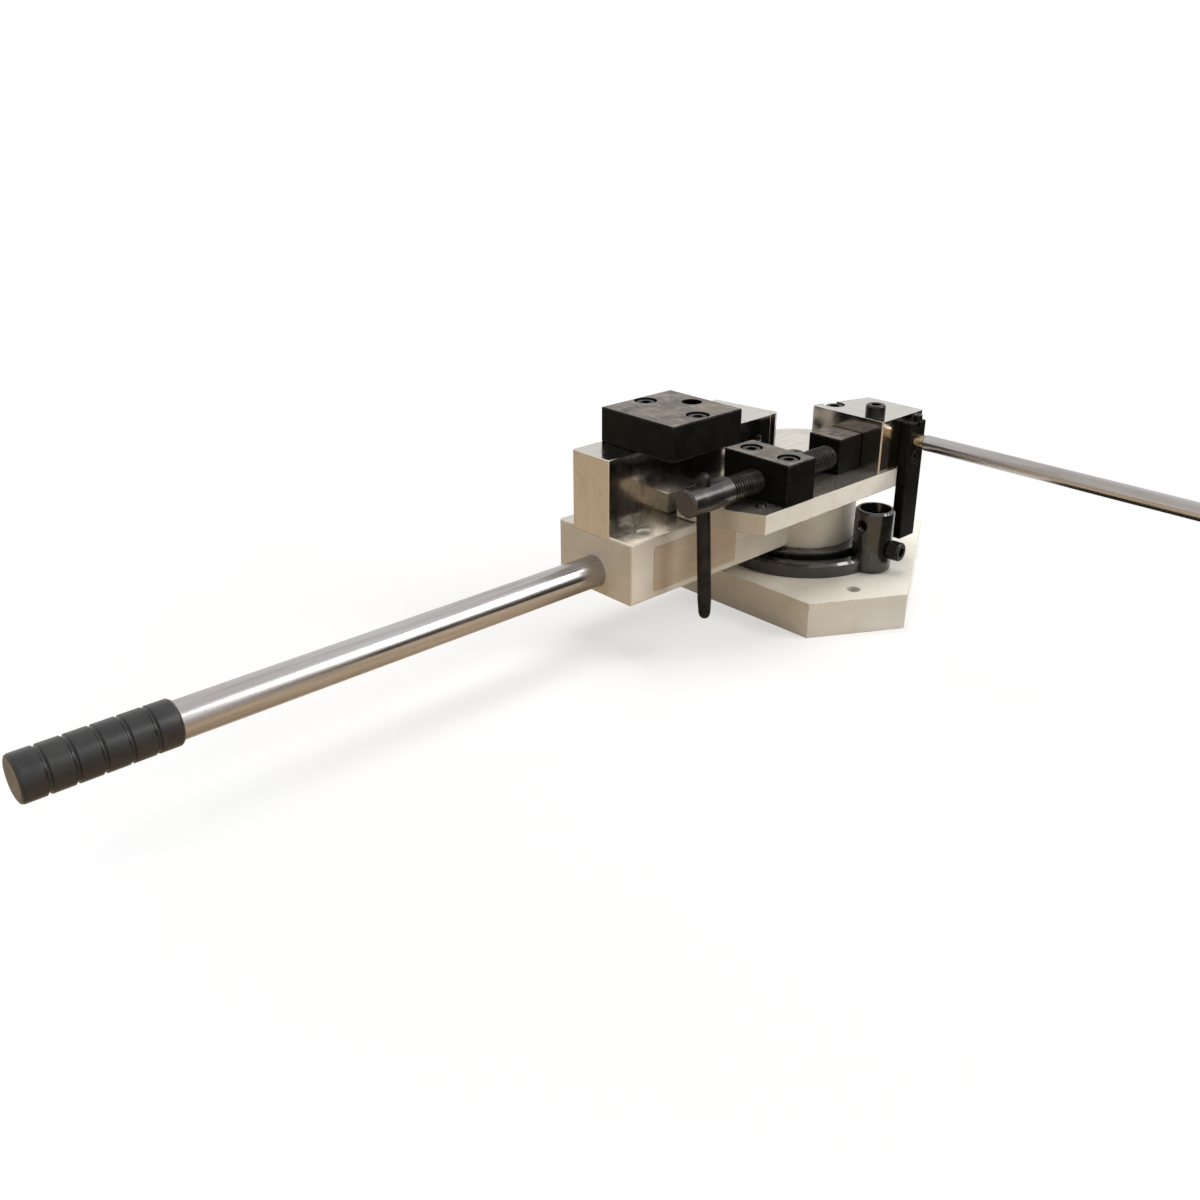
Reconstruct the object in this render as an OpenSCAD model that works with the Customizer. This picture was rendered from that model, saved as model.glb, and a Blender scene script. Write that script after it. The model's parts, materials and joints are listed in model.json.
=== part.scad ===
// Universal bench bender: a lever arm swings a ground bending block round a fixed pivot,
// past a screw-driven jaw that holds the bar against a fixed block on the work table.
// The pivot axis is Z, the base stands on Z = 0, and the lever points along -X.

/* [Base plate] */
// Thickness of the base plate
base_t = 30; // [20:1:40]
// Distance from the pivot to the flat left side
base_left = 92; // [85:1:110]
// Half length of the left side
base_left_half = 84; // [60:1:95]
// Half width of the plate across its two front and back corners
base_half = 126; // [115:1:140]
// Distance from the pivot to the nose at the right
base_tip = 138; // [130:1:160]
// Half length of the nose
base_tip_half = 35; // [20:1:45]
// Diameter of the bench bolt holes
bolt_hole_d = 11; // [8:0.5:13]
// Radius of the circle through the bench bolt holes
bolt_circle_r = 104; // [100:1:106]

/* [Pivot] */
// Diameter of the pivot spindle
spindle_d = 40; // [30:1:44]
// Diameter of the spindle's flange
flange_d = 78; // [72:1:84]
// Thickness of the spindle's flange
flange_t = 9; // [8:0.5:10]
// Wall of the bronze bush in the hub
bush_wall = 4; // [3:0.5:6]

/* [Angle stop] */
// Outer radius of the stop ring
ring_r = 73; // [70:0.5:78]
// Height of the ring's rim
ring_rim_h = 12; // [10:0.5:14]
// Radius of the ring's raised seat
ring_seat_r = 57; // [52:0.5:60]
// Height of the raised seat above the rim
ring_seat_h = 4; // [2:0.5:6]
// Diameter of the stop clamp
stop_d = 33; // [28:0.5:36]
// Height of the stop clamp above the base plate
stop_h = 53; // [45:1:58]
// Bore in the top of the stop clamp
stop_bore_d = 26; // [14:0.5:27]
// Place of the stop clamp round the ring, in degrees
stop_angle = -84.4; // [-100:0.2:-80]

/* [Lever arm] */
// Radius of the arm's hub
hub_r = 46; // [40:0.5:50]
// Height of the arm bar
arm_h = 49.5; // [44:0.5:52]
// Distance from the pivot to the arm's outer end
arm_len = 227; // [210:1:260]
// Distance from the pivot to the arm's front face
arm_front = 19.4; // [15:0.2:24]
// Distance from the pivot to the arm's back face
arm_back = 61; // [58:0.5:66]
// Depth of the seat milled for the bending block
arm_seat = 3; // [2:0.5:5]
// Diameter of the handle bar
handle_d = 25; // [20:0.5:30]
// Distance from the pivot to the handle's outer end
handle_reach = 660; // [500:5:800]
// Depth of the handle's socket in the arm
socket_depth = 70; // [50:1:90]
// Height of the handle's axis above the arm's underside
handle_rise = 17.5; // [16:0.5:22]
// Diameter of the rubber grip
grip_d = 30; // [28:0.5:38]
// Length of the rubber grip
grip_len = 94; // [80:1:130]
// Number of rings on the grip between its grooves
grip_rings = 6; // [4:1:8]

/* [Bending block] */
// Height of the bending block
bend_h = 63; // [58:0.5:70]
// Width of the bending block
bend_w = 39.7; // [36:0.1:44]
// Distance from the pivot to the nose of the bending block
bend_near = 34; // [30:0.5:44]
// Thickness of the nose plate
nose_t = 10; // [8:0.5:12]
// Length of the nose plate across the arm
nose_len = 62; // [50:1:70]
// Angle by which the nose plate leans away, in degrees
nose_lean = 8; // [0:0.5:12]

/* [Tool bracket] */
// Length of the bracket along the arm
bracket_l = 75; // [60:1:85]
// Width of the bracket across the arm
bracket_w = 76; // [66:1:78]
// Thickness of the bracket
bracket_t = 27; // [22:0.5:32]
// Distance from the pivot to the bracket's near side
bracket_near = 122.8; // [110:0.2:130]
// Bore for bending pins
pin_bore_d = 16; // [12:0.5:18]

/* [Work table] */
// Thickness of the work table
table_t = 16; // [12:0.5:20]
// Radius of the table's round right end
table_r = 79; // [76:0.5:82]
// Distance from the pivot to the table's front edge
table_front = 74; // [70:0.5:75]
// Radius of the table's left end
table_reach = 158.5; // [150:0.5:162]

/* [Work clamp] */
// Distance from the pivot line to the faces that the bar lies against
face_x = 5; // [3:0.5:8]
// Height of the fixed block
fixed_h = 42.8; // [38:0.2:48]
// Length of the fixed block along X
fixed_l = 56; // [50:1:62]
// Distance from the pivot to the fixed block's front face
fixed_front = 71.6; // [68:0.2:73]
// Radius of the fixed block's bending nose
fixed_nose = 1.5; // [0.5:0.5:5]
// Length of the jaw along X
jaw_l = 29; // [24:1:32]
// Width of the jaw across the table
jaw_w = 31.9; // [28:0.1:34]
// Distance from the pivot line to the jaw's back face
jaw_back = 20.5; // [18:0.5:21]
// Height of the jaw
jaw_h = 29.5; // [26:0.5:34]
// Length of the nut block along X
nut_l = 33; // [28:1:36]
// Width of the nut block
nut_w = 64.5; // [60:0.5:68]
// Height of the nut block
nut_h = 33.5; // [30:0.5:38]
// Distance from the pivot to the nut block's outer face
nut_far = 117.5; // [110:0.5:122]
// Outer diameter of the clamp screw's thread
screw_d = 20; // [16:1:22]
// Distance from the pivot line to the clamp screw's axis
screw_y = 42.6; // [40:0.2:44]
// Height of the clamp screw's axis above the table
screw_rise = 14; // [12:0.5:16]
// Diameter of the clamp screw's head
head_d = 22; // [20:0.5:25]
// Length of the clamp screw's head
head_l = 46; // [36:1:50]
// Length of the head that reaches over the table
head_over = 9.5; // [0:0.5:14]
// Diameter of the tommy bar
tommy_d = 10.6; // [8:0.2:12]
// Length of the tommy bar
tommy_l = 116; // [100:1:120]
// Distance from the head's outer end to the tommy bar
tommy_in = 19.5; // [15:0.5:23]
// Turn of the clamp screw at rest, in degrees
tommy_turn = -3.5; // [-6:0.5:2]

/* [Length stop] */
// Width of the stop bar along X
stop_bar_w = 20.5; // [18:0.5:23]
// Depth of the stop bar
stop_bar_t = 10; // [8:0.5:14]
// Length of the stop bar
stop_bar_l = 101; // [80:1:106]
// Distance from the pivot line to the stop bar's left side
stop_bar_x = 31; // [29:0.5:36]
// Diameter of the stop rod
rod_d = 13; // [10:0.5:14]
// Length of the stop rod beyond its bar
rod_l = 320; // [260:5:400]
// Height of the stop rod above the table
rod_rise = 23; // [18:0.5:28]

/* [Fasteners] */
// Diameter of the large socket screws
m_d = 10; // [8:1:12]
// Play of a running fit, on the radius
run = 0.05; // [0.02:0.01:0.08]
// Edge chamfer of the machined blocks
edge = 0.8; // [0.4:0.1:1.5]

/* [Hidden] */
$fn = 96;

// Heights, from the base plate up
rim_z = base_t + ring_rim_h;
seat_z = rim_z + ring_seat_h;
hub_z = seat_z + 0.1;
arm_z = hub_z + 1.6;
arm_top = arm_z + arm_h;
washer_t = 0.8;
table_z = arm_top + 0.1 + washer_t + 0.1;
table_top = table_z + table_t;
bend_z = arm_top - arm_seat;
bend_top = bend_z + bend_h;
fixed_top = table_top + fixed_h;
screw_z = table_top + screw_rise;
rod_z = table_top + rod_rise;

// Screw proportions: socket head height is the thread size, head diameter 1.6 times it
head_k = 1.6;
sink_k = 1.8;
socket_k = 0.8;
m_head = head_k * m_d;
m_sink = sink_k * m_d;

// Places worked out from the sizes above
bend_y = face_x;
bend_back = bend_y + bend_w;
bend_clear = table_r + 5;
bolt_x = 10;
bracket_x = -bracket_near - bracket_l / 2;
bracket_y0 = bend_back - bracket_w;
nut_x = -nut_far + nut_l / 2;
jaw_gap = 0.3;
jaw_x1 = face_x - jaw_gap;
jaw_x0 = jaw_x1 - jaw_l;
neck_d = 0.6 * screw_d;
neck_l = 16;
pin_d = 4;
groove_r = neck_d / 2 - 2;
head_near = table_reach - head_over;
tommy_x = -head_near - head_l + tommy_in;
tommy_up = head_d / 2 + 9;
handle_z = arm_z + handle_rise;
handle_y = (arm_back - arm_front) / 2;
stop_bar_mid = stop_bar_x + stop_bar_w / 2;
stop_bar_y = -fixed_front - stop_bar_t;
stop_bar_top = fixed_top - 4.5;
collar_y = stop_bar_y - 285;
stop_r = ring_r - 1.7;
stop_play = 0.3;
seam = 0.05;
base_cut = 18.4;
spigot_h = 18;
spindle_bolt_r = (spindle_d + flange_d) / 4;
groove_h = 4;
groove_out = ring_seat_r + 6;
stop_screw_z = rim_z + m_d / 2 + 3.5;
bolt_sink = m_d + 1;
table_bolt_d = 8;
small_d = 6;
small_hole = 11;
small_sink = 6.2;
stud_x = 30.5 - table_reach;
stud_y = -58.7;
stud_d = 5;
rod_neck_d = rod_d - 1.5;
rod_x = stop_bar_x + 8.5;
rod_root = stop_bar_t + 14;
collar_w = 16;
set_in = 14;
set_down = 18;
bracket_bolt_in = 10;
bracket_bolt_out = 65;
pin_bore_x = bracket_x + 23.5;
pin_bore_y = bend_y + 3;
fixed_bolt_back = [face_x + 15.5, -11];
fixed_bolt_front = [face_x + 10, -56];
bend_tap = 28;
tap_end = 4;
nose_shank = nose_t + 11.6;

// A box between two corners with every edge chamfered by c
module block(low, high, c = edge) {
  s = high - low;
  translate(low) intersection() {
    linear_extrude(s.z) cut_square(s.x, s.y, c);
    rotate([90, 0, 90]) linear_extrude(s.x) cut_square(s.y, s.z, c);
    translate([0, s.y, 0]) rotate([90, 0, 0]) linear_extrude(s.y) cut_square(s.x, s.z, c);
  }
}

// A rectangle with its four corners cut at 45 degrees
module cut_square(w, h, c) {
  polygon([[c, 0], [w - c, 0], [w, c], [w, h - c], [w - c, h], [c, h], [0, h - c], [0, c]]);
}

// A socket head screw: the head's underside is at the origin and the shank points down
module socket_screw(d, shank) {
  head = head_k * d;
  difference() {
    union() {
      rotate_extrude() polygon([[0, 0], [head / 2, 0], [head / 2, 0.9 * d],
        [head / 2 - 0.1 * d, d], [0, d]]);
      translate([0, 0, -shank]) cylinder(h = shank + 0.3 * d, d = d);
    }
    translate([0, 0, 0.45 * d]) cylinder(h = d, d = socket_k * d / cos(30), $fn = 6);
  }
}

// The hole for a socket screw, sunk by depth below the face at the origin
module screw_hole(d, depth, through) {
  translate([0, 0, -depth]) cylinder(h = depth + 1, d = sink_k * d);
  translate([0, 0, -through]) cylinder(h = through + 1, d = d);
}

// Base: a triangle with its corners cut off, on the bench bolt circle
module base_outline() {
  polygon([[-base_left, -base_left_half], [-base_cut, -base_half], [base_tip, -base_tip_half],
    [base_tip, base_tip_half], [-base_cut, base_half], [-base_left, base_left_half]]);
}

module base_plate() color("antiquewhite") {
  difference() {
    linear_extrude(base_t) base_outline();
    for (a = [0, 120, 240])
      translate([bolt_x, 0, -1]) rotate(a) translate([bolt_circle_r, 0, 0])
        cylinder(h = base_t + 2, d = bolt_hole_d);
    translate([0, 0, base_t - spigot_h]) cylinder(h = spigot_h + 1, d = spindle_d);
    spindle_bolts() translate([0, 0, base_t - 14]) cylinder(h = 15, d = small_d);
  }
}

module spindle_bolts()
  for (a = [45 : 90 : 315]) rotate(a) translate([spindle_bolt_r, 0, 0]) children();

// Flanged spindle, seated in the base and carrying the table on its end
module spindle() color("dimgray") {
  difference() {
    union() {
      translate([0, 0, base_t - spigot_h]) cylinder(h = table_z - base_t + spigot_h, d = spindle_d);
      translate([0, 0, base_t]) cylinder(h = flange_t, d = flange_d);
    }
    spindle_bolts() translate([0, 0, base_t + flange_t]) screw_hole(small_d, small_sink, 20);
    table_bolts() translate([0, 0, table_z - 20]) cylinder(h = 21, d = table_bolt_d);
  }
}

module spindle_screws() color("black")
  spindle_bolts() translate([0, 0, base_t + flange_t - small_sink]) socket_screw(small_d, 14);

// Graduated stop ring: a rim with a groove for the stop clamp and a raised seat under the hub
module ring_profile(grow) {
  in_r = flange_d / 2 + 0.1;
  polygon([[in_r, base_t - grow], [ring_r + grow, base_t - grow], [ring_r + grow, rim_z - 2 + grow],
    [ring_r - 2, rim_z + grow], [groove_out - grow, rim_z + grow],
    [groove_out - grow, rim_z - groove_h + grow], [ring_seat_r + grow, rim_z - groove_h + grow],
    [ring_seat_r + grow, seat_z + grow], [in_r, seat_z + grow]]);
}

module stop_ring() color("darkslategray") rotate_extrude($fn = 128) ring_profile(0);

// Stop clamp: a round post that straddles the rim and locks with a radial screw
module stop_place() rotate(stop_angle) translate([stop_r, 0, 0]) children();

module stop_clamp() color("darkslategray") {
  difference() {
    stop_place() rotate_extrude() polygon([[0, base_t + 0.6], [stop_d / 2 - 1, base_t + 0.6],
      [stop_d / 2, base_t + 1.6], [stop_d / 2, base_t + stop_h - 1.5],
      [stop_d / 2 - 1.5, base_t + stop_h], [0, base_t + stop_h]]);
    rotate_extrude($fn = 128) ring_profile(stop_play);
    stop_place() translate([0, 0, base_t + stop_h - 22]) cylinder(h = 23, d = stop_bore_d);
    stop_place() translate([0, 0, stop_screw_z]) rotate([0, 90, 0]) cylinder(h = stop_d, d = m_d);
    stop_place() translate([0, 0, rim_z + 29]) rotate([90, 0, -8]) translate([0, 0, 4])
      cylinder(h = stop_d, d = 10);
  }
}

module stop_clamp_screw() color("black")
  stop_place() translate([stop_d / 2 + 1, 0, stop_screw_z]) rotate([0, 90, 0])
    socket_screw(m_d, stop_d / 2);

// Lever arm: a bar with a socket for the handle, ending in the hub
module arm_lever() color("antiquewhite") {
  difference() {
    union() {
      intersection() {
        block([-arm_len, -arm_front, arm_z], [hub_r, arm_back, arm_top], 1);
        translate([0, 0, arm_z - 1]) linear_extrude(arm_h + 2)
          polygon([[-arm_len - 1, -arm_front - 1], [0, -arm_front - 1], [0, arm_back - 16],
            [-16, arm_back + 1], [-arm_len - 1, arm_back + 1]]);
      }
      translate([0, 0, hub_z]) cylinder(h = arm_top - hub_z, r = hub_r);
    }
    translate([0, 0, hub_z - 1]) cylinder(h = arm_h + 10, d = spindle_d + 2 * bush_wall);
    translate([-arm_len - 1, handle_y, handle_z]) rotate([0, 90, 0])
      cylinder(h = socket_depth + 1, d = handle_d);
    translate([-arm_len - 1, bend_y - seam, bend_z])
      cube([arm_len - bend_clear + 1, bend_w + 2 * seam, arm_seat + 1]);
    bend_bolts() translate([0, 0, arm_z - 1]) {
      cylinder(h = arm_h, d = m_d);
      cylinder(h = bolt_sink + 1, d = m_sink);
    }
    translate([-arm_len + 28, -arm_front + 15, arm_top - 18]) {
      cylinder(h = 19, d = 8.5);
      translate([0, 0, 16.5]) cylinder(h = 1.52, d1 = 8.5, d2 = 11.54);
    }
    translate([-arm_len + socket_depth - 16, handle_y, arm_z - 1]) cylinder(h = handle_rise, d = 8);
  }
}

module bend_bolts()
  for (x = [-134, -106]) translate([x, (bend_y + bend_back) / 2, 0]) children();

module hub_bush() color("goldenrod") {
  difference() {
    translate([0, 0, hub_z]) cylinder(h = arm_top - hub_z, d = spindle_d + 2 * bush_wall);
    translate([0, 0, hub_z - 1]) cylinder(h = arm_h + 10, d = spindle_d + 2 * run);
  }
}

module thrust_washer() color("goldenrod") {
  difference() {
    translate([0, 0, table_z - washer_t]) cylinder(h = washer_t, r = hub_r - 8);
    translate([0, 0, table_z - washer_t - 1]) cylinder(h = washer_t + 2, d = spindle_d);
  }
}

module handle_bar() color("silver") {
  translate([-handle_reach + 5, handle_y, handle_z]) rotate([0, 90, 0])
    cylinder(h = handle_reach - 5 - arm_len + socket_depth, d = handle_d);
}

module handle_set_screw() color("black") {
  translate([-arm_len + socket_depth - 16, handle_y, arm_z + 0.5])
    cylinder(h = handle_z - handle_d / 2 - arm_z - 0.5, d = 8);
}

// Grip: a closed rubber sleeve with shallow ring grooves
module handle_grip() color("darkslategray") {
  pitch = grip_len / grip_rings;
  r = grip_d / 2;
  translate([-handle_reach, handle_y, handle_z]) rotate([0, 90, 0]) difference() {
    rotate_extrude() polygon([[0, 0], [r - 2, 0], [r - 0.6, 0.6], [r, 2], [r, grip_len - 1.5],
      [r - 1, grip_len], [0, grip_len]]);
    for (i = [1 : grip_rings - 1]) translate([0, 0, i * pitch]) rotate_extrude()
      translate([r + 0.4, 0]) circle(r = 1.6, $fn = 24);
    translate([0, 0, 5]) cylinder(h = grip_len, d = handle_d);
  }
}

// Bending block: ground steel, stepped to pass over the work table
module bend_block() color("lightgray") {
  near = bend_near + nose_t;
  difference() {
    union() {
      block([-arm_len, bend_y, bend_z], [-bend_clear - 1, bend_back, bend_top], 0.5);
      intersection() {
        block([-arm_len, bend_y, table_top + 0.5], [-bend_near, bend_back, bend_top], 0.5);
        nose_side(nose_t, 300);
      }
    }
    bend_bolts() translate([0, 0, bend_z - 1]) cylinder(h = 24, d = m_d);
    translate([bracket_x, bend_back - bracket_bolt_in, bend_top - bend_tap])
      cylinder(h = bend_tap + 1, d = m_d);
    translate([-near - set_in, bend_y - 1, bend_top - set_down]) rotate([-90, 0, 0])
      cylinder(h = 19, d = small_d);
    nose_bolts() translate([0, 0, -1]) cylinder(h = 26, d = small_d);
  }
}

// The space on the arm side of the leaning nose plane, from depth a to depth b behind its face
module nose_side(a, b) {
  translate([-bend_near, bend_y, 0]) rotate(nose_lean) translate([-b, -40, 0]) cube([b - a, 160, 300]);
}

module nose_bolts() for (z = [bend_top - 12, table_top + 13])
  translate([-bend_near, bend_y, 0]) rotate(nose_lean) translate([-nose_t, bend_w / 2, z])
    rotate([0, -90, 0]) children();

// Nose plate across the end of the bending block
module nose_plate() color("lightgray") {
  difference() {
    intersection() {
      nose_side(0, nose_t);
      linear_extrude(300) polygon([[-300, bend_y], [-bend_near - 4, bend_y], [-bend_near + 1, bend_y + 2],
        [0, bend_y + nose_len], [-300, bend_y + nose_len]]);
      translate([-200, 0, table_top + 0.5]) cube([200, 200, bend_top - table_top - 0.5]);
    }
    nose_bolts() {
      translate([0, 0, -nose_t - 1]) cylinder(h = nose_t + 2, d = small_d);
      translate([0, 0, -nose_t - 1]) cylinder(h = small_sink + 1.2, d = small_hole);
    }
  }
}

module nose_screws() color("black")
  nose_bolts() rotate([180, 0, 0]) translate([0, 0, nose_t - small_sink - 0.2])
    socket_screw(small_d, nose_shank);

module bend_block_screws() color("black")
  bend_bolts() translate([0, 0, arm_z + bolt_sink]) rotate([180, 0, 0])
    socket_screw(m_d, arm_h + 15 - bolt_sink);

module block_set_screw() color("black")
  translate([-bend_near - nose_t - set_in, bend_y + 1, bend_top - set_down])
  rotate([-90, 0, 0]) difference() {
    cylinder(h = 12, d = small_d);
    translate([0, 0, -1]) cylinder(h = 4, d = 3.4, $fn = 6);
  }

// Tool bracket: overhangs the bending block and takes the bending pins
module bracket_bolts()
  for (y = [bracket_bolt_in, bracket_bolt_out])
    translate([bracket_x, bend_back - y, bend_top + bracket_t]) children();

module bracket() color("dimgray") {
  difference() {
    block([bracket_x - bracket_l / 2, bracket_y0, bend_top],
      [bracket_x + bracket_l / 2, bend_back, bend_top + bracket_t]);
    bracket_bolts() screw_hole(m_d, m_d + 1, bracket_t + 1);
    translate([pin_bore_x, pin_bore_y, bend_top - 1]) cylinder(h = bracket_t + 2, d = pin_bore_d);
  }
}

module bracket_screws() color("black") {
  short = bracket_t - m_d - 1;
  translate([bracket_x, bend_back - bracket_bolt_in, bend_top + short])
    socket_screw(m_d, short + bend_tap - tap_end);
  translate([bracket_x, bend_back - bracket_bolt_out, bend_top + short]) socket_screw(m_d, short);
}

// Work table: a round end about the pivot, with a flat for the stop bar, and a tongue that
// ends on an arc about it
module table_outline() {
  difference() {
    union() {
      circle(r = table_r, $fn = 128);
      intersection() {
        circle(r = table_reach, $fn = 160);
        translate([-table_reach, -table_front]) square([table_reach, table_front]);
      }
    }
    translate([-table_reach, -2 * table_reach - table_front]) square(2 * table_reach);
    translate([stop_bar_x - 2, -table_reach - fixed_front - seam]) square([table_reach, table_reach]);
  }
}

module table_bolts() for (a = [0 : 90 : 270]) rotate(a) translate([12, 0, 0]) children();

module work_table() color("antiquewhite") {
  difference() {
    translate([0, 0, table_z]) linear_extrude(table_t) table_outline();
    table_bolts() translate([0, 0, table_top]) screw_hole(table_bolt_d, table_bolt_d + 0.2, table_t + 1);
    nut_bolts() translate([0, 0, table_z - 1]) cylinder(h = table_t + 2, d = m_d);
    fixed_bolts() translate([0, 0, table_z - 1]) cylinder(h = table_t + 2, d = m_d);
    translate([stud_x, stud_y, table_z - 1]) cylinder(h = table_t + 2, d = stud_d);
  }
}

module table_screws() color("black")
  table_bolts() translate([0, 0, table_top - table_bolt_d - 0.2]) socket_screw(table_bolt_d, 20);

module table_stud() color("dimgray") translate([stud_x, stud_y, 0]) {
  translate([0, 0, table_top - 12]) cylinder(h = 12, d = stud_d);
  translate([0, 0, table_top]) rotate_extrude() polygon([[0, 0], [4.6, 0], [4.6, 0.8], [3, 2.6], [0, 2.9]]);
}

// Nut block that carries the clamp screw
module nut_bolts() for (s = [-1, 1]) translate([nut_x, -screw_y + s * 18.6, 0]) children();

module nut_block() color("dimgray") {
  difference() {
    block([nut_x - nut_l / 2, -screw_y - nut_w / 2, table_top],
      [nut_x + nut_l / 2, -screw_y + nut_w / 2, table_top + nut_h]);
    nut_bolts() translate([0, 0, table_top + nut_h]) screw_hole(m_d, m_d + 1, nut_h + 1);
    translate([nut_x - nut_l, -screw_y, screw_z]) rotate([0, 90, 0])
      cylinder(h = 2 * nut_l, d = screw_d + 2 * run);
  }
}

module nut_block_screws() color("black")
  nut_bolts() translate([0, 0, table_top + nut_h - m_d - 1]) socket_screw(m_d, nut_h - m_d - 1 + table_t - 1);

// Fixed block: its back face leans away so that the nose plate can pass
module fixed_bolts() {
  translate(fixed_bolt_back) children();
  translate(fixed_bolt_front) children();
}

module fixed_block() color("lightgray") {
  x1 = face_x + fixed_l;
  difference() {
    translate([0, 0, table_top]) linear_extrude(fixed_h) union() {
      polygon([[face_x, -fixed_front + 1], [face_x + 1, -fixed_front], [x1 - 1, -fixed_front],
        [x1, -fixed_front + 1], [x1, -17], [face_x + fixed_nose, 0], [face_x, -fixed_nose]]);
      intersection() {
        translate([face_x + fixed_nose, -fixed_nose]) circle(r = fixed_nose, $fn = 64);
        translate([face_x, -fixed_nose]) square(fixed_nose);
      }
    }
    translate([0, 0, fixed_top]) fixed_bolts() cylinder(h = 2 * fixed_h, d = m_d, center = true);
    translate([0, 0, fixed_top - bolt_sink]) translate(fixed_bolt_back)
      cylinder(h = bolt_sink + 1, d = m_sink);
    stop_bar_bolt() cylinder(h = 17, d = small_d);
    translate([rod_x, -fixed_front - 1, rod_z]) rotate([-90, 0, 0])
      cylinder(h = rod_root - stop_bar_t + 2, d = rod_neck_d);
  }
}

module fixed_block_screws() color("black") {
  translate([0, 0, fixed_top - bolt_sink]) translate(fixed_bolt_back)
    socket_screw(m_d, fixed_h - bolt_sink + table_t - 1);
  translate([0, 0, fixed_top]) translate(fixed_bolt_front) socket_screw(m_d, fixed_h + table_t - 1);
}

// Moving jaw: turned onto the clamp screw's neck and held there by a cross pin
module moving_jaw() color("dimgray") {
  difference() {
    block([jaw_x0, -jaw_back - jaw_w, table_top + 0.3], [jaw_x1, -jaw_back, table_top + jaw_h]);
    translate([jaw_x0 - 1, -screw_y, screw_z]) rotate([0, 90, 0])
      cylinder(h = neck_l + 1.5, d = neck_d + 2 * run);
    jaw_pin_place() cylinder(h = jaw_h, d = pin_d);
  }
}

module jaw_pin_place()
  translate([jaw_x0 + 8, -screw_y + groove_r + pin_d / 2 + run, screw_z - 10]) children();

module jaw_pin() color("gray") jaw_pin_place() cylinder(h = table_top + jaw_h - screw_z + 10, d = pin_d);

// Clamp screw, on its axis along +X, with a grooved neck in the jaw and a spigot in its head
module clamp_screw() color("dimgray") {
  far = tommy_x;
  translate([0, -screw_y, screw_z]) rotate([0, 90, 0]) rotate_extrude() polygon([
    [0, far + tommy_d / 2 + 1], [screw_d / 2 - 3, far + tommy_d / 2 + 1], [screw_d / 2 - 3, -head_near],
    [screw_d / 2, -head_near], [screw_d / 2, jaw_x0 - 0.3], [neck_d / 2, jaw_x0 - 0.3],
    [neck_d / 2, jaw_x0 + 8 - pin_d / 2 - 0.1], [groove_r, jaw_x0 + 8 - pin_d / 2 - 0.1],
    [groove_r, jaw_x0 + 8 + pin_d / 2 + 0.1], [neck_d / 2, jaw_x0 + 8 + pin_d / 2 + 0.1],
    [neck_d / 2, jaw_x0 + neck_l - 1], [neck_d / 2 - 1, jaw_x0 + neck_l], [0, jaw_x0 + neck_l]]);
}

module screw_head() color("dimgray") {
  difference() {
    translate([-head_near - head_l, -screw_y, screw_z]) rotate([0, 90, 0]) rotate_extrude()
      polygon([[0, 0], [head_d / 2 - 1.5, 0], [head_d / 2, 1.5], [head_d / 2, head_l - 1.5],
        [head_d / 2 - 1.5, head_l], [0, head_l]]);
    translate([tommy_x + tommy_d / 2 + 1, -screw_y, screw_z]) rotate([0, 90, 0])
      cylinder(h = head_l, d = screw_d - 6);
    tommy_place() translate([0, 0, -head_d]) cylinder(h = 2 * head_d, d = tommy_d + 2 * run);
  }
}

// Tommy bar: domed at the top and tapered to a round tip
module tommy_place() translate([tommy_x, -screw_y, screw_z]) rotate([tommy_turn, 0, 0]) children();

module tommy_bar() color("dimgray") {
  r = tommy_d / 2;
  tommy_place() translate([0, 0, tommy_up - tommy_l]) rotate_extrude() polygon(concat(
    [[0, 0], [1.8, 0.3], [3.2, 1.2], [4.1, 2.7], [4.6, 4.6], [r, 15], [r, tommy_l - r]],
    [for (a = [15 : 15 : 90]) [r * cos(a), tommy_l - r + r * sin(a)]]));
}

// Stop bar, held to the front of the fixed block by one screw and by the stop rod's neck
module stop_bar_bolt() translate([stop_bar_mid, -fixed_front, table_top + 9]) rotate([-90, 0, 0]) children();

module stop_bar() color("dimgray") {
  difference() {
    block([stop_bar_x, stop_bar_y, stop_bar_top - stop_bar_l],
      [stop_bar_x + stop_bar_w, -fixed_front, stop_bar_top]);
    stop_bar_bolt() {
      translate([0, 0, -stop_bar_t - 1]) cylinder(h = stop_bar_t + 2, d = small_d);
      translate([0, 0, -stop_bar_t - 1]) cylinder(h = small_sink + 1, d = small_hole);
    }
    translate([rod_x, stop_bar_y - 1, rod_z]) rotate([-90, 0, 0])
      cylinder(h = stop_bar_t + 2, d = rod_neck_d);
    translate([stop_bar_mid - 1.5, stop_bar_y - 1, stop_bar_top - 5]) cube([3, stop_bar_t + 2, 6]);
  }
}

module stop_bar_screws() color("black")
  stop_bar_bolt() rotate([180, 0, 0]) translate([0, 0, stop_bar_t - small_sink]) socket_screw(small_d, 18);

// Stop rod: its turned neck screws through the stop bar into the fixed block
module stop_rod() color("silver") {
  translate([rod_x, stop_bar_y, rod_z]) rotate([90, 0, 0]) rotate_extrude() polygon([
    [0, -rod_root], [rod_neck_d / 2, -rod_root], [rod_neck_d / 2, 9], [rod_d / 2, 10],
    [rod_d / 2, rod_l - 1.5], [rod_d / 2 - 1.5, rod_l], [0, rod_l]]);
}

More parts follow.
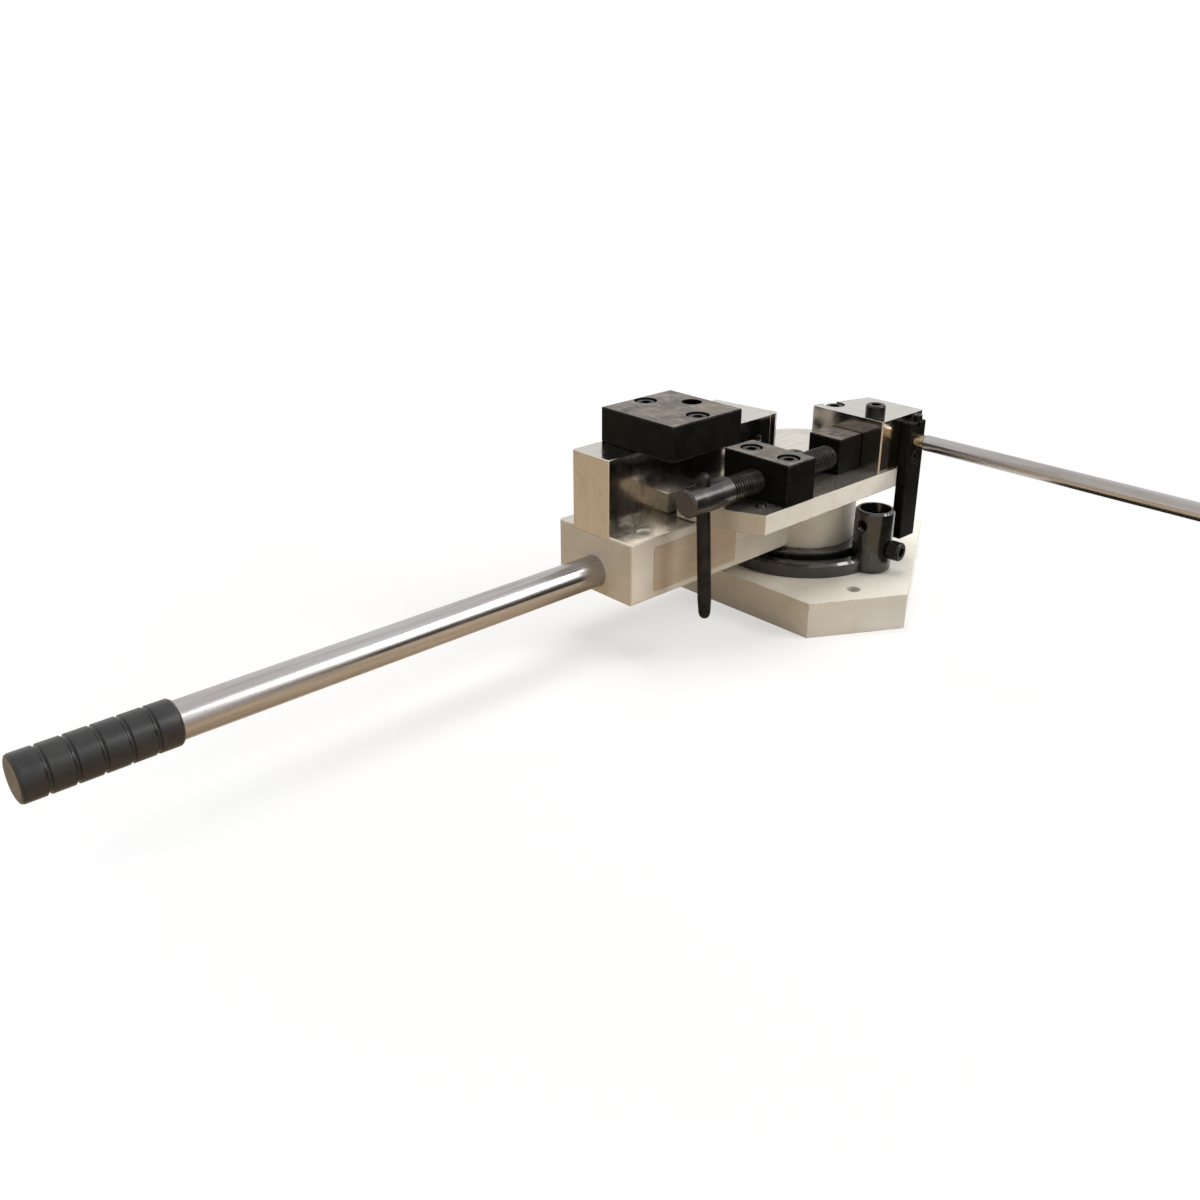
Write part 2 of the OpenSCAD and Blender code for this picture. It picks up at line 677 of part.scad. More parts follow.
// Sliding stop: a split collar with a finger in line with the bar to be bent
module stop_collar() color("dimgray") {
  difference() {
    union() {
      translate([rod_x, collar_y, rod_z]) rotate([90, 0, 0]) cylinder(h = collar_w, d = 2.3 * rod_d);
      block([-8, collar_y - collar_w, rod_z - 8], [rod_x - 2, collar_y - collar_w / 2, rod_z + 8]);
    }
    translate([rod_x, collar_y + 1, rod_z]) rotate([90, 0, 0])
      cylinder(h = collar_w + 2, d = rod_d + 2 * run);
    translate([rod_x, collar_y - collar_w / 2, rod_z]) cylinder(h = 2 * rod_d, d = 6);
  }
}

module stop_collar_screw() color("black")
  translate([rod_x, collar_y - collar_w / 2, rod_z + 1.15 * rod_d + 3]) {
    translate([0, 0, -0.6 * rod_d - 2.7]) cylinder(h = 0.6 * rod_d + 2.8, d = 6);
    rotate_extrude() polygon([[0, 0], [8, 0], [9, 1], [9, 7], [8, 8], [0, 8]]);
  }

base_plate();
spindle();
spindle_screws();
stop_ring();
work_table();
table_screws();
table_stud();
nut_block();
nut_block_screws();
fixed_block();
fixed_block_screws();
stop_bar();
stop_bar_screws();
stop_rod();
stop_collar();
stop_collar_screw();
moving_jaw();
jaw_pin();
clamp_screw();
screw_head();
tommy_bar();
arm_lever();
hub_bush();
thrust_washer();
handle_bar();
handle_grip();
handle_set_screw();
bend_block();
bend_block_screws();
nose_plate();
nose_screws();
block_set_screw();
bracket();
bracket_screws();
stop_clamp();
stop_clamp_screw();
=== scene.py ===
"""Looks of the universal bender: materials, screw thread, bare label plate, studio and camera.

Places and sizes are metres, written in millimetres times MM where they are small. Colours are linear RGB."""

import json
import math

import bmesh
import bpy
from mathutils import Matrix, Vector

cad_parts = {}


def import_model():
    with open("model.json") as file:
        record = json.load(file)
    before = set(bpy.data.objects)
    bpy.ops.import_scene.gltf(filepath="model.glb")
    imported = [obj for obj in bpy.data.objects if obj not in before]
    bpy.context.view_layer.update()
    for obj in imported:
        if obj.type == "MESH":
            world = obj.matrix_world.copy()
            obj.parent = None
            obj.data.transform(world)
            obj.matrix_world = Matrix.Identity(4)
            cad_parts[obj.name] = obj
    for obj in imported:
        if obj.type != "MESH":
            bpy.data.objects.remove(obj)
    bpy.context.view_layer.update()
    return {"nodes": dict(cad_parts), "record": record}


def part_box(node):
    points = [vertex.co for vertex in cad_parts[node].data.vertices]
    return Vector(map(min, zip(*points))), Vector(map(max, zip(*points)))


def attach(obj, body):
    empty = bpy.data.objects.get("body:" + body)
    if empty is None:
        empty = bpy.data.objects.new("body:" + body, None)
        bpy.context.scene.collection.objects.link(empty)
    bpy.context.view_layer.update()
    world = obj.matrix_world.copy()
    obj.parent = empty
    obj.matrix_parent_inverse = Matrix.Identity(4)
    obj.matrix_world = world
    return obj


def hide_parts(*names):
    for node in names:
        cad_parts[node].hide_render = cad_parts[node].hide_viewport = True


MM = 0.001

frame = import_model()
nodes = frame["nodes"]


# Materials

MOST = (0.3, 0.7)  # the band that most values of a noise lie in


class Nodes:
    """Adds shader nodes to one node tree."""

    def __init__(self, tree):
        self.tree = tree

    def add(self, kind, links=None, **settings):
        """Adds a node, sets its attributes, and fills its inputs with sockets or plain values."""
        node = self.tree.nodes.new(kind)
        for key, value in settings.items():
            setattr(node, key, value)
        for key, value in (links or {}).items():
            self.fill(node.inputs[key], value)
        return node

    def fill(self, socket, value):
        """Links a socket into an input, or sets the input to a plain value."""
        if isinstance(value, bpy.types.NodeSocket):
            self.tree.links.new(value, socket)
        else:
            socket.default_value = value

    def spread(self, value, low, high, to_low=0.0, to_high=1.0, **settings):
        """Maps value from low..high to to_low..to_high, held at the ends."""
        return self.add("ShaderNodeMapRange", {
            "Value": value, "From Min": low, "From Max": high,
            "To Min": to_low, "To Max": to_high}, **settings).outputs["Result"]

    def math(self, operation, a, b=0.0):
        """The result of a math node."""
        return self.add("ShaderNodeMath", {0: a, 1: b}, operation=operation).outputs["Value"]

    def mix(self, factor, a, b):
        """Mixes two colours, each a socket or an RGB triple."""
        node = self.add("ShaderNodeMix", {"Factor": factor}, data_type="RGBA")
        for index, value in ((6, a), (7, b)):
            self.fill(node.inputs[index], (*value, 1.0) if isinstance(value, tuple) else value)
        return node.outputs[2]

    def mix_values(self, factor, a, b):
        """Mixes two plain values."""
        return self.add("ShaderNodeMix", {"Factor": factor, 2: a, 3: b}).outputs[0]

    def seen(self):
        """1 for camera, glossy and transmission rays, 0 for all others."""
        rays = self.add("ShaderNodeLightPath").outputs
        bounced = self.math("MAXIMUM", rays["Is Glossy Ray"], rays["Is Transmission Ray"])
        return self.math("MAXIMUM", rays["Is Camera Ray"], bounced)


class Finish(Nodes):
    """A material being built: its Principled shader and the row's own coordinates."""

    def __init__(self, name, metallic=0.0, coat=0.0, coat_roughness=0.1, specular=0.5):
        self.material = bpy.data.materials.new(name)
        self.material.use_nodes = True
        super().__init__(self.material.node_tree)
        self.shader = self.tree.nodes["Principled BSDF"]
        self.shader.inputs["Metallic"].default_value = metallic
        self.shader.inputs["Coat Weight"].default_value = coat
        self.shader.inputs["Coat Roughness"].default_value = coat_roughness
        self.shader.inputs["Specular IOR Level"].default_value = specular
        self.place = self.add("ShaderNodeTexCoord").outputs["Object"]

    def noise(self, per_metre, detail=4.0, roughness=0.55, distortion=0.0, offset=0.0):
        """Noise from 0 to 1 whose cells repeat per_metre times along each axis."""
        mapping = self.add("ShaderNodeMapping", {
            "Vector": self.place, "Scale": per_metre, "Location": (offset, 2.3 * offset, 3.1 * offset)})
        return self.add("ShaderNodeTexNoise", {
            "Vector": mapping.outputs["Vector"], "Scale": 1.0, "Detail": detail,
            "Roughness": roughness, "Distortion": distortion}).outputs["Fac"]

    def true_normal(self):
        """The face's own normal, before any rounding or relief."""
        return self.add("ShaderNodeNewGeometry").outputs["True Normal"]

    def edge(self, radius):
        """(rounded normal, mask that is 1 on edges sharper than radius)."""
        flat, sharp = 0.995, 0.93  # cosines between the rounded normal and the face's own
        rounded = self.add("ShaderNodeBevel", {"Radius": radius}, samples=6).outputs["Normal"]
        dot = self.add("ShaderNodeVectorMath", {0: rounded, 1: self.true_normal()}, operation="DOT_PRODUCT")
        return rounded, self.spread(dot.outputs["Value"], flat, sharp)

    def upward(self):
        """1 on faces that look up, 0 elsewhere."""
        up = self.add("ShaderNodeSeparateXYZ", {0: self.true_normal()}).outputs["Z"]
        return self.spread(up, 0.9, 0.96)

    def along_y(self):
        """1 on faces that look along Y either way, 0 elsewhere."""
        y = self.add("ShaderNodeSeparateXYZ", {0: self.true_normal()}).outputs["Y"]
        return self.spread(self.math("ABSOLUTE", y), 0.6, 0.9)

    def bump(self, height, distance, normal=None):
        """The normal with a relief, height from 0 to 1 times distance, laid on another normal."""
        links = {"Height": height, "Distance": distance}
        if normal is not None:
            links["Normal"] = normal
        return self.add("ShaderNodeBump", links).outputs["Normal"]

    def finish(self, colour, roughness, normal, metallic=None):
        """Links what varies to the shader and returns the material."""
        pairs = [("Base Color", colour), ("Roughness", roughness), ("Normal", normal)]
        if metallic is not None:
            pairs.append(("Metallic", metallic))
        for key, value in pairs:
            self.tree.links.new(value, self.shader.inputs[key])
        return self.material


def machined_steel(f):
    """(colour, roughness) of a milled top left bare of paint: streaks along X under old stains."""
    light, dark, stained = (0.68, 0.64, 0.57), (0.50, 0.46, 0.40), (0.30, 0.25, 0.19)
    streak = f.noise((14, 520, 520), detail=4, roughness=0.6, offset=2.0)
    stain = f.noise((34, 34, 34), detail=6, roughness=0.62, offset=9.0)
    colour = f.mix(f.spread(streak, *MOST), dark, light)
    colour = f.mix(f.spread(stain, 0.50, 0.75, 0.0, 0.55), colour, stained)
    return colour, f.spread(stain, *MOST, 0.15, 0.30)


def paint(name, machined_top):
    """Cream enamel with orange peel, faint stains and worn edges, and if asked bare machined top faces."""
    light, dark = (0.79, 0.765, 0.70), (0.72, 0.685, 0.60)
    ochre, soot, primer = (0.45, 0.38, 0.28), (0.30, 0.25, 0.18), (0.36, 0.33, 0.29)
    f = Finish(name, coat=0.25, coat_roughness=0.25)
    rounded, edge = f.edge(1.1 * MM)
    cloud = f.noise((22, 22, 30), detail=5)
    speck = f.noise((420, 420, 420), detail=2)
    grime = f.spread(f.noise((60, 60, 90), detail=6, roughness=0.65, offset=4.0), 0.52, 0.78)
    peel = f.noise((260, 260, 260), detail=2, roughness=0.4)
    colour = f.mix(f.spread(cloud, 0.35, 0.68), light, dark)
    colour = f.mix(f.math("MULTIPLY", grime, 0.28), colour, ochre)
    colour = f.mix(f.spread(speck, 0.70, 0.76, 0.0, 0.35), colour, soot)
    roughness = f.spread(cloud, *MOST, 0.36, 0.52)
    chips = f.spread(f.noise((160, 160, 160), detail=4, offset=7.0), 0.50, 0.60)
    bare = f.math("MULTIPLY", edge, chips)
    if machined_top:
        steel, steel_roughness = machined_steel(f)
        bare = f.math("MAXIMUM", bare, f.upward())
        colour = f.mix(bare, colour, steel)
        roughness = f.mix_values(bare, roughness, steel_roughness)
    else:
        colour = f.mix(bare, colour, primer)
    return f.finish(colour, roughness, f.bump(peel, 0.05 * MM, rounded), f.math("MULTIPLY", bare, 0.9))


def ground_steel():
    """Surface-ground steel: fine upright lines, wavy reflections, blotchy stains, long faces painted darker
    as a dark reflection, and bright edges.
    """
    light, dark = (0.56, 0.525, 0.480), (0.50, 0.470, 0.425)
    stained, polished = (0.115, 0.095, 0.075), (0.92, 0.90, 0.87)
    f = Finish("ground_steel", metallic=1.0)
    rounded, edge = f.edge(0.5 * MM)
    lines = f.noise((300, 300, 12), detail=3, roughness=0.6)
    wave = f.noise((26, 34, 34), detail=2, roughness=0.5, offset=3.0)
    blotch = f.noise((85, 85, 85), detail=7, roughness=0.70, distortion=0.6, offset=5.0)
    # The stained tone gives blotchy stains everywhere, and is laid on more strongly on faces that look along
    # Y as a painted dark reflection.
    long_face_painted_reflection = f.spread(f.along_y(), 0.0, 1.0, 0.22, 0.75)
    colour = f.mix(f.spread(lines, *MOST), dark, light)
    colour = f.mix(f.math("MULTIPLY", f.spread(blotch, 0.50, 0.72), long_face_painted_reflection), colour, stained)
    colour = f.mix(edge, colour, polished)
    smear = f.spread(blotch, 0.35, 0.75, 0.07, 0.20)
    roughness = f.math("ADD", smear, f.spread(lines, *MOST, 0.0, 0.05))
    return f.finish(colour, roughness, f.bump(lines, 0.003 * MM, f.bump(wave, 0.16 * MM, rounded)))


def black_oxide(name, sheen_top):
    """Oil-blacked steel: where asked, a brown-grey painted sheen on top faces, and bare metal showing on the
    edges.
    """
    black, brown = (0.0045, 0.0045, 0.004), (0.012, 0.0115, 0.0095)
    painted_top_sheen, scratches_and_highlight, bared = (0.175, 0.152, 0.132), (0.45, 0.41, 0.37), (0.17, 0.16, 0.145)
    f = Finish(name, specular=0.07)
    rounded, edge = f.edge(0.8 * MM)
    cloud = f.noise((48, 48, 48), detail=6, roughness=0.66, distortion=0.4)
    mill = f.noise((16, 700, 700), detail=3, offset=2.0)
    colour = f.mix(f.spread(cloud, 0.38, 0.72), black, brown)
    if sheen_top:
        # Where asked, top faces get a lighter brown-grey: a painted sheen.
        top = f.upward()
        colour = f.mix(f.math("MULTIPLY", top, f.spread(cloud, 0.36, 0.64, 0.30, 1.0)), colour, painted_top_sheen)
        # Light streaks on top faces only: scratches, with a painted highlight laid into them.
        scuff_and_highlight = f.spread(f.noise((420, 90, 200), detail=5, roughness=0.7, offset=8.0), 0.55, 0.72, 0.0, 0.6)
        colour = f.mix(f.math("MULTIPLY", top, scuff_and_highlight), colour, scratches_and_highlight)
    wear = f.spread(f.noise((210, 210, 210), offset=6.0), 0.46, 0.66, 0.0, 0.5)
    worn = f.math("MULTIPLY", edge, wear)
    colour = f.mix(worn, colour, bared)
    roughness = f.math("ADD", f.spread(cloud, 0.3, 0.75, 0.26, 0.42), f.spread(mill, *MOST, 0.0, 0.08))
    return f.finish(colour, roughness, f.bump(mill, 0.012 * MM, rounded), f.math("MULTIPLY", worn, 0.9))


def black_gloss():
    """Black enamel on the stop ring and stop clamp, turned surface showing through."""
    black, dusty, rubbed = (0.006, 0.006, 0.0055), (0.020, 0.018, 0.015), (0.22, 0.20, 0.18)
    f = Finish("black_gloss", specular=0.4, coat=1.0, coat_roughness=0.06)
    rounded, edge = f.edge(0.8 * MM)
    cloud = f.noise((55, 55, 90), detail=5, roughness=0.6)
    turned = f.noise((30, 30, 900), detail=2, offset=1.0)
    colour = f.mix(f.spread(cloud, 0.35, 0.7), black, dusty)
    colour = f.mix(f.math("MULTIPLY", edge, f.spread(cloud, 0.45, 0.6, 0.0, 0.7)), colour, rubbed)
    return f.finish(colour, f.spread(cloud, *MOST, 0.18, 0.34), f.bump(turned, 0.010 * MM, rounded))


def bare_steel(name, dark, light, oiled, rub=0.35):
    """Dark turned steel, for screws, spindle, thread and tommy bar; oiled is its roughness under oil."""
    rubbed, drier = (0.42, 0.40, 0.37), 0.14
    f = Finish(name, metallic=0.85)
    rounded, edge = f.edge(0.4 * MM)
    cloud = f.noise((90, 90, 60), detail=5, roughness=0.62)
    fine = f.noise((900, 900, 900), detail=2, offset=3.0)
    colour = f.mix(f.spread(cloud, 0.35, 0.7), dark, light)
    colour = f.mix(f.math("MULTIPLY", edge, rub), colour, rubbed)
    oil = f.spread(cloud, *MOST, oiled, oiled + drier)
    roughness = f.math("ADD", oil, f.spread(fine, *MOST, 0.0, 0.05))
    return f.finish(colour, roughness, f.bump(fine, 0.01 * MM, rounded))


def bronze():
    """Turned bearing bronze."""
    light, dark = (0.55, 0.36, 0.15), (0.36, 0.22, 0.09)
    f = Finish("bronze", metallic=1.0)
    rounded, _ = f.edge(0.4 * MM)
    turned = f.noise((60, 60, 1200), detail=3)
    cloud = f.noise((70, 70, 70), detail=5, offset=5.0)
    colour = f.mix(f.spread(cloud, 0.35, 0.7), light, dark)
    return f.finish(colour, f.spread(cloud, *MOST, 0.25, 0.40), f.bump(turned, 0.01 * MM, rounded))


def chrome(name, along, brassy_from=None):
    """Polished bar with long draw marks and dull film; along gives cells per metre on each axis.

    Where y is above brassy_from the plating is thin and yellowish."""
    light, dark, filmed = (0.50, 0.482, 0.495), (0.37, 0.340, 0.315), (0.25, 0.21, 0.17)
    pitted, brassy, fade = (0.12, 0.10, 0.08), (0.42, 0.29, 0.13), 1.5 * MM
    f = Finish(name, metallic=1.0)
    streak = f.noise(along, detail=5, roughness=0.62, distortion=0.15)
    film = f.noise(tuple(0.35 * a + 6 for a in along), detail=5, roughness=0.6, offset=4.0)
    pit = f.noise((500, 500, 500), detail=2, offset=8.0)
    colour = f.mix(f.spread(streak, 0.38, 0.66), light, dark)
    colour = f.mix(f.spread(film, 0.55, 0.75, 0.0, 0.45), colour, filmed)
    colour = f.mix(f.spread(pit, 0.72, 0.78, 0.0, 0.5), colour, pitted)
    if brassy_from is not None:
        y = f.add("ShaderNodeSeparateXYZ", {0: f.place}).outputs["Y"]
        neck = f.spread(y, brassy_from - fade, brassy_from + fade, 0.0, 0.75)
        colour = f.mix(neck, colour, brassy)
    roughness = f.math("ADD", f.spread(streak, *MOST, 0.12, 0.26), f.spread(film, 0.4, 0.8, 0.0, 0.16))
    return f.finish(colour, roughness, f.bump(streak, 0.012 * MM))


def rubber():
    """Moulded black rubber, slightly dusty and pebbled."""
    black, dusty = (0.0095, 0.0095, 0.0105), (0.028, 0.027, 0.027)
    f = Finish("grip_rubber")
    rounded, _ = f.edge(1.0 * MM)
    pebble = f.noise((620, 620, 620), detail=3, roughness=0.5)
    dust = f.noise((55, 55, 55), detail=6, roughness=0.65, offset=3.0)
    colour = f.mix(f.spread(dust, 0.40, 0.75), black, dusty)
    return f.finish(colour, f.spread(dust, *MOST, 0.28, 0.40), f.bump(pebble, 0.06 * MM, rounded))


def label_metal():
    """Plate without print: pale satin lacquer with faint rubbing marks."""
    light, dark, rubbed = (0.62, 0.525, 0.405), (0.53, 0.44, 0.33), (0.42, 0.38, 0.32)
    f = Finish("label_plate", coat=0.2, coat_roughness=0.3)
    rounded, edge = f.edge(0.3 * MM)
    rub = f.noise((40, 300, 240), detail=5, roughness=0.6)
    colour = f.mix(f.spread(rub, 0.35, 0.7), light, dark)
    colour = f.mix(f.math("MULTIPLY", edge, 0.5), colour, rubbed)
    return f.finish(colour, f.spread(rub, *MOST, 0.34, 0.46), f.bump(rub, 0.006 * MM, rounded))


ROD_NECK = 9 * MM  # how far the stop rod's thin neck shows beyond the stop bar
FINISHES = {
    "cream_paint": paint("cream_paint", machined_top=False),
    "machined_paint": paint("machined_paint", machined_top=True),
    "ground_steel": ground_steel(),
    "black_oxide": black_oxide("black_oxide", sheen_top=False),
    "bracket_black": black_oxide("bracket_black", sheen_top=True),
    "black_gloss": black_gloss(),
    "screw_black": bare_steel("screw_black", (0.012, 0.012, 0.012), (0.036, 0.034, 0.031), 0.30),
    "bare_steel": bare_steel("bare_steel", (0.016, 0.0155, 0.015), (0.052, 0.048, 0.044), 0.24),
    "blued_steel": bare_steel("blued_steel", (0.070, 0.067, 0.067), (0.092, 0.088, 0.085), 0.18),
    "thread_steel": bare_steel("thread_steel", (0.030, 0.028, 0.026), (0.065, 0.060, 0.055), 0.24, rub=0.0),
    "bronze": bronze(),
    "polished_steel": chrome("chrome_handle", (5, 190, 190)),
    "chrome_rod": chrome("chrome_rod", (190, 5, 190), brassy_from=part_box("stop_bar")[0].y - ROD_NECK),
    "grip_rubber": rubber(),
}
OWN_FINISH = {
    "arm_lever": "machined_paint", "work_table": "machined_paint",
    "bracket": "bracket_black", "nut_block": "bracket_black", "moving_jaw": "bracket_black",
    "stop_rod": "chrome_rod", "tommy_bar": "screw_black", "screw_head": "blued_steel",
}


def dress_nodes():
    """Gives every CAD node its own finish, or else the one of its material slot."""
    slots = {row["node"]: row["material_slot"] for row in frame["record"]["subparts"]}
    for name, obj in nodes.items():
        obj.data.materials.clear()
        obj.data.materials.append(FINISHES[OWN_FINISH.get(name, slots[name])])


# New pieces

def piece(name, verts, faces, body, finish, smooth_angle=30.0):
    """Makes a mesh piece that rides on a body, smooth but for edges sharper than smooth_angle."""
    mesh = bpy.data.meshes.new(name)
    mesh.from_pydata(verts, [], faces)
    mesh.validate()
    build = bmesh.new()
    build.from_mesh(mesh)
    bmesh.ops.recalc_face_normals(build, faces=build.faces)
    build.to_mesh(mesh)
    build.free()
    for polygon in mesh.polygons:
        polygon.use_smooth = True
    mesh.set_sharp_from_angle(angle=math.radians(smooth_angle))
    obj = bpy.data.objects.new(name, mesh)
    bpy.context.scene.collection.objects.link(obj)
    mesh.materials.append(finish)
    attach(obj, body)
    return obj


def ring_faces(rings, count):
    """Faces of a closed skin over rings of count points each, numbered ring by ring, with both end caps."""
    faces = []
    for i in range(rings - 1):
        for k in range(count):
            here, beside = i * count + k, i * count + (k + 1) % count
            faces.append((here, beside, beside + count, here + count))
    faces.append(tuple(range(count)))
    faces.append(tuple(range((rings - 1) * count, rings * count)))
    return faces


def lathe(stations, radius_at, segments):
    """(verts, faces) of a closed surface round +X: stations are x places, radius_at(x, angle) its radius."""
    verts = []
    for x in stations:
        for k in range(segments):
            a = 2 * math.pi * k / segments
            r = radius_at(x, a)
            verts.append((x, r * math.cos(a), r * math.sin(a)))
    return verts, ring_faces(len(stations), segments)


def threaded_screw():
    """The clamp screw with its trapezoid thread, in place of the plain CAD cylinder."""
    pitch, depth = 3.0 * MM, 1.5 * MM
    crest_half, root_half = 0.1875, 0.34375  # shares of the pitch, from the middle of a ridge
    steps_per_pitch, segments = 8, 40
    jaw_gap, plain_end = 0.4 * MM, 0.01 * MM
    run_out = 1.5 * pitch  # the thread fades out over this length before the jaw
    low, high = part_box("clamp_screw")
    axis_y, axis_z = (low.y + high.y) / 2, (low.z + high.z) / 2
    outer = (high.z - low.z) / 2
    root = outer - depth
    in_head, in_jaw = outer - 3 * MM, 0.6 * outer
    head_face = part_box("screw_head")[1].x
    jaw_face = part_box("moving_jaw")[0].x - jaw_gap

    def radius(x, a):
        if x < head_face + plain_end or x > jaw_face - plain_end:
            return root
        phase = (x / pitch - a / (2 * math.pi)) % 1.0
        flank = (root_half - abs(phase - 0.5)) / (root_half - crest_half)
        fade = min(1.0, (jaw_face - x) / run_out)
        return root + depth * min(max(flank, 0.0), 1.0) * fade

    count = int((jaw_face - head_face) / pitch * steps_per_pitch)
    stations = [head_face + (jaw_face - head_face) * i / count for i in range(count + 1)]
    verts, faces = lathe(stations, radius, segments)
    for x0, x1, r in ((low.x, head_face, in_head), (jaw_face, high.x, in_jaw)):
        base = len(verts)
        more, sides = lathe([x0, x1], lambda x, a, r=r: r, segments)
        verts += more
        faces += [tuple(base + i for i in face) for face in sides]
    verts = [(x, y + axis_y, z + axis_z) for x, y, z in verts]
    obj = piece("clamp_screw_thread", verts, faces, "screw", FINISHES["thread_steel"], 45.0)
    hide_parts("clamp_screw")


def slot_screw():
    """The small socket screw that stands on the stop bar's top."""
    radius, height, chamfer = 3.6 * MM, 4.4 * MM, 0.5 * MM
    across_flats, depth, segments = 3.2 * MM, 2.2 * MM, 36
    from_side = 5.0 * MM
    low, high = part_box("stop_bar")
    x, y = high.x - from_side, (low.y + high.y) / 2

    def hexagon(a):
        return across_flats / 2 / math.cos((a + math.pi / 6) % (math.pi / 3) - math.pi / 6)

    rings = [
        (0.0, lambda a: radius), (height - chamfer, lambda a: radius), (height, lambda a: radius - chamfer),
        (height, hexagon), (height - depth, hexagon)]
    angles = [2 * math.pi * k / segments for k in range(segments)]
    verts = [(x + reach(a) * math.cos(a), y + reach(a) * math.sin(a), high.z + z)
             for z, reach in rings for a in angles]
    faces = ring_faces(len(rings), segments)
    piece("slot_screw", verts, faces, "frame", FINISHES["screw_black"])


def label_plate():
    """A bare plate with rounded corners on the arm's front face."""
    width, height, from_end, from_top = 93 * MM, 36.5 * MM, 24.5 * MM, 7.7 * MM
    corner, thick, bevel, steps = 2.2 * MM, 0.55 * MM, 0.18 * MM, 6
    arm_front = -19.4 * MM
    arm_low, arm_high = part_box("arm_lever")
    left, top = arm_low.x + from_end, arm_high.z - from_top
    right, bottom = left + width, top - height

    def outline(inset):
        """Points of the plate's rim, anticlockwise from the right, drawn in by inset."""
        points = []
        r = corner - inset
        for cx, cz, start in ((right - corner, top - corner, 0), (left + corner, top - corner, 90),
                              (left + corner, bottom + corner, 180), (right - corner, bottom + corner, 270)):
            for k in range(steps + 1):
                a = math.radians(start + 90 * k / steps)
                points.append((cx + r * math.cos(a), cz + r * math.sin(a)))
        return points

    outer_face = arm_front - thick
    rings = [(outline(0), arm_front), (outline(0), outer_face + bevel), (outline(bevel), outer_face)]
    verts = [(x, y, z) for points, y in rings for x, z in points]
    faces = ring_faces(len(rings), len(rings[0][0]))
    piece("label_plate", verts, faces, "arm", label_metal(), 25.0)


# Studio

def stage_mesh(name, verts, material):
    """A flat face that belongs to the studio, not to the object."""
    mesh = bpy.data.meshes.new(name)
    mesh.from_pydata(verts, [], [tuple(range(len(verts)))])
    mesh.materials.append(material)
    obj = bpy.data.objects.new(name, mesh)
    bpy.context.scene.collection.objects.link(obj)
    return obj


def aimed(place, target):
    """The rotation that turns an object's back, its +Z side, away from the target."""
    return (Vector(place) - Vector(target)).to_track_quat("Z", "Y").to_euler()


def world():
    """White surroundings as camera, mirrors and glass see them, and a dimmer fill light for all else."""
    fill, white = 0.22, 1.0
    surroundings = bpy.data.worlds.new("studio")
    bpy.context.scene.world = surroundings
    surroundings.use_nodes = True
    shade = Nodes(surroundings.node_tree)
    background = shade.tree.nodes["Background"]
    background.inputs["Color"].default_value = (1, 1, 1, 1)
    shade.fill(background.inputs["Strength"], shade.spread(shade.seen(), 0.0, 1.0, fill, white))


def lamps():
    """Soft square lamps. Polished faces mirror the key lamp alone."""
    white, warm = (1.0, 0.98, 0.95), (1.0, 0.78, 0.54)
    for name, place, target, size, watts, tint in (
            ("key", (0.9, -1.4, 1.5), (-0.15, 0, 0.1), 1.0, 30, white),
            ("top", (0.0, 0.2, 2.0), (-0.1, 0, 0.1), 1.2, 30, white),
            ("left", (-2.0, 0.2, 0.9), (-0.2, 0, 0.1), 1.2, 3, warm),
            ("back", (0.9, 1.7, 1.0), (0, 0, 0.1), 1.2, 8, white)):
        lamp = bpy.data.lights.new(name, "AREA")
        lamp.size = size
        lamp.energy = watts
        lamp.color = tint
        obj = bpy.data.objects.new(name, lamp)
        obj.visible_glossy = name == "key"
        obj.location = place
        obj.rotation_euler = aimed(place, target)
        bpy.context.scene.collection.objects.link(obj)


def card(name, place, size, colour, target=None):
    """A card that only polished surfaces mirror. It lies flat, or faces its target."""
    w, h = size[0] / 2, size[1] / 2
    matt = Finish(name, specular=0.0)
    matt.shader.inputs["Base Color"].default_value = (*colour, 1)
    matt.shader.inputs["Roughness"].default_value = 1.0
    obj = stage_mesh(name, [(-w, -h, 0), (w, -h, 0), (w, h, 0), (-w, h, 0)], matt.material)
    obj.location = place
    if target:
        obj.rotation_euler = aimed(place, target)
    obj.visible_camera = obj.visible_shadow = obj.visible_diffuse = False


def cards():
    """A tan bench at the left and a dark bench and wall at the right, for the blocks to mirror."""
    tan, dark = (0.64, 0.52, 0.38), (0.030, 0.026, 0.022)
    above_floor = 0.5 * MM
    card("tan_card", (-0.95, 0.10, above_floor), (1.80, 2.0), tan)
    card("dark_card", (0.70, -0.78, above_floor), (1.5, 1.28), dark)
    card("dark_wall", (0.85, -1.00, 0.26), (2.0, 0.52), dark, target=(-0.15, 0, 0.26))


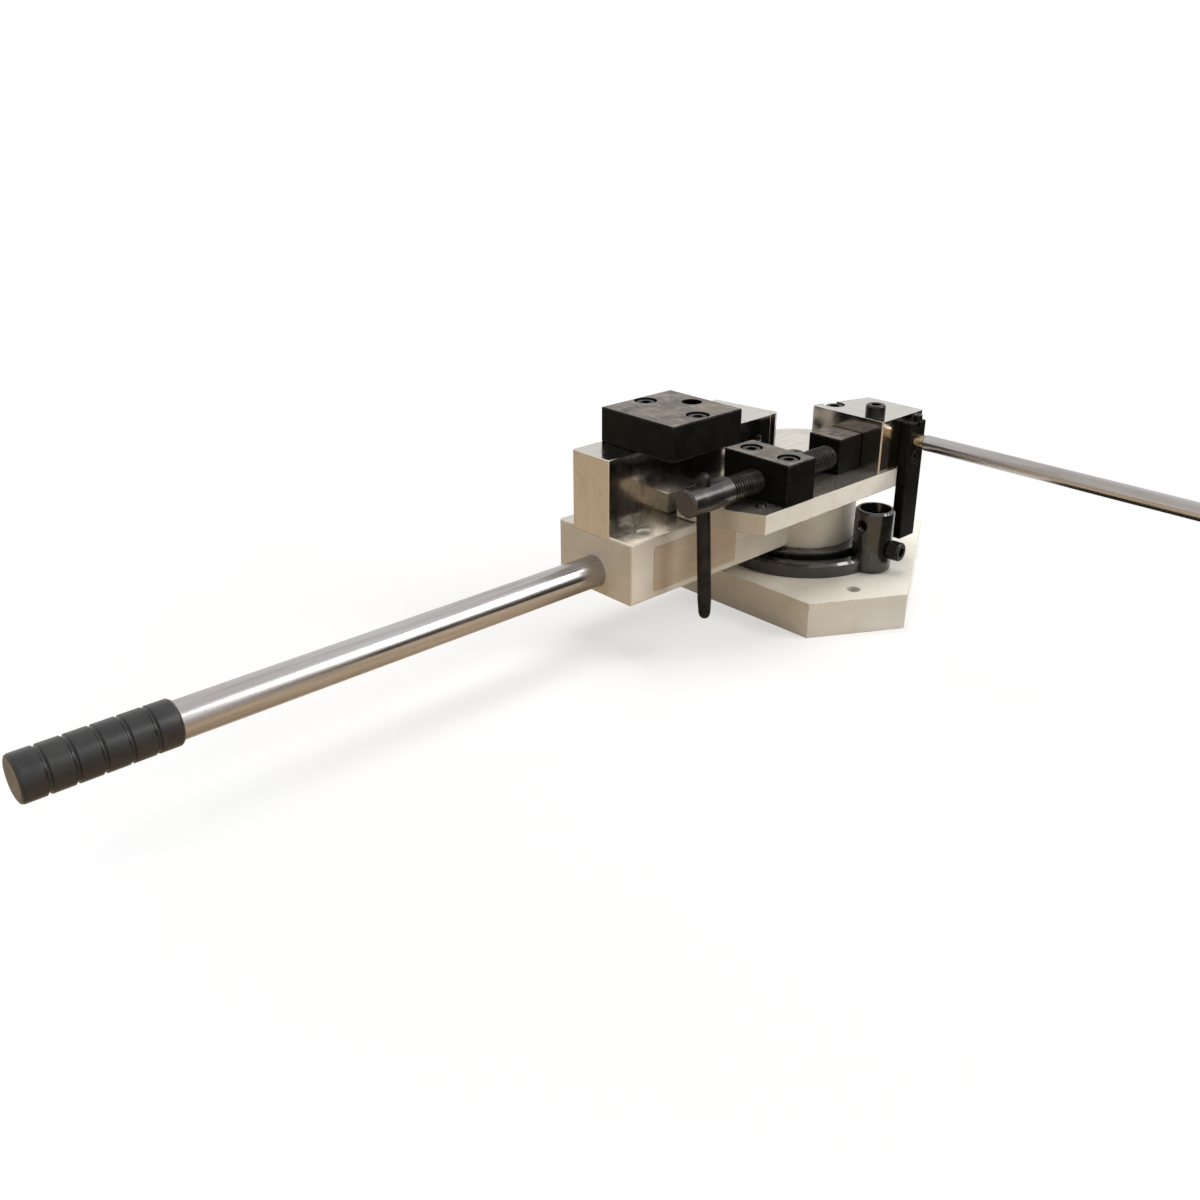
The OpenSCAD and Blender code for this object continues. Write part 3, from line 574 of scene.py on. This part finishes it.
def floor_finish():
    """Matt white floor that glows plain white away from the object; its colour for bounce rays is painted
    warm on the left, a painted warm light on the object's left side.
    """
    white, warm = (0.86, 0.86, 0.855), (0.50, 0.37, 0.235)
    middle, glow_from, glow_full, least_glow = (-0.15, -0.05, 0), 0.15, 0.55, 0.55
    warm_from, warm_full = 0.10, -0.25
    f = Finish("studio_floor", specular=0.0)
    f.shader.inputs["Roughness"].default_value = 1.0
    seen = f.seen()
    away = f.add("ShaderNodeVectorMath", {0: f.place, 1: middle}, operation="DISTANCE").outputs["Value"]
    far = f.spread(away, glow_from, glow_full, least_glow, 1.0, interpolation_type="SMOOTHSTEP")
    x = f.add("ShaderNodeSeparateXYZ", {0: f.place}).outputs["X"]
    left = f.spread(x, warm_from, warm_full, interpolation_type="SMOOTHSTEP")
    # Rays that are not seen find a tan floor on the left, so its bounce falls as a painted warm light on the
    # object's left faces.
    painted_warm_bounce = f.math("MULTIPLY", left, f.math("SUBTRACT", 1.0, seen))
    f.fill(f.shader.inputs["Base Color"], f.mix(painted_warm_bounce, white, warm))
    glow = f.add("ShaderNodeEmission").outputs[0]
    surface = f.add("ShaderNodeMixShader", {
        0: f.math("MULTIPLY", far, seen), 1: f.shader.outputs[0], 2: glow})
    f.fill(f.tree.nodes["Material Output"].inputs["Surface"], surface.outputs[0])
    return f.material


def floor():
    """A wide round floor just under the base."""
    reach, sides, drop = 30.0, 64, 0.2 * MM
    angles = [2 * math.pi * k / sides for k in range(sides)]
    stage_mesh("floor", [(reach * math.cos(a), reach * math.sin(a), -drop) for a in angles], floor_finish())


def camera():
    """The photograph's camera, fitted to the object's edges."""
    photo_width, focal_length, sensor = 1200, 1203.75, 36.0  # pixels, pixels and millimetres
    tilt, heading = 65.54, -42.68
    data = bpy.data.cameras.new("camera")
    data.sensor_width = sensor
    data.lens = sensor * focal_length / photo_width
    data.clip_start = 0.01
    obj = bpy.data.objects.new("camera", data)
    obj.location = (-0.80252, -0.60983, 0.42867)
    obj.rotation_euler = (math.radians(tilt), 0, math.radians(heading))
    bpy.context.scene.collection.objects.link(obj)
    bpy.context.scene.camera = obj


dress_nodes()
threaded_screw()
slot_screw()
label_plate()
world()
lamps()
cards()
floor()
camera()
bpy.context.scene.view_settings.view_transform = "Standard"
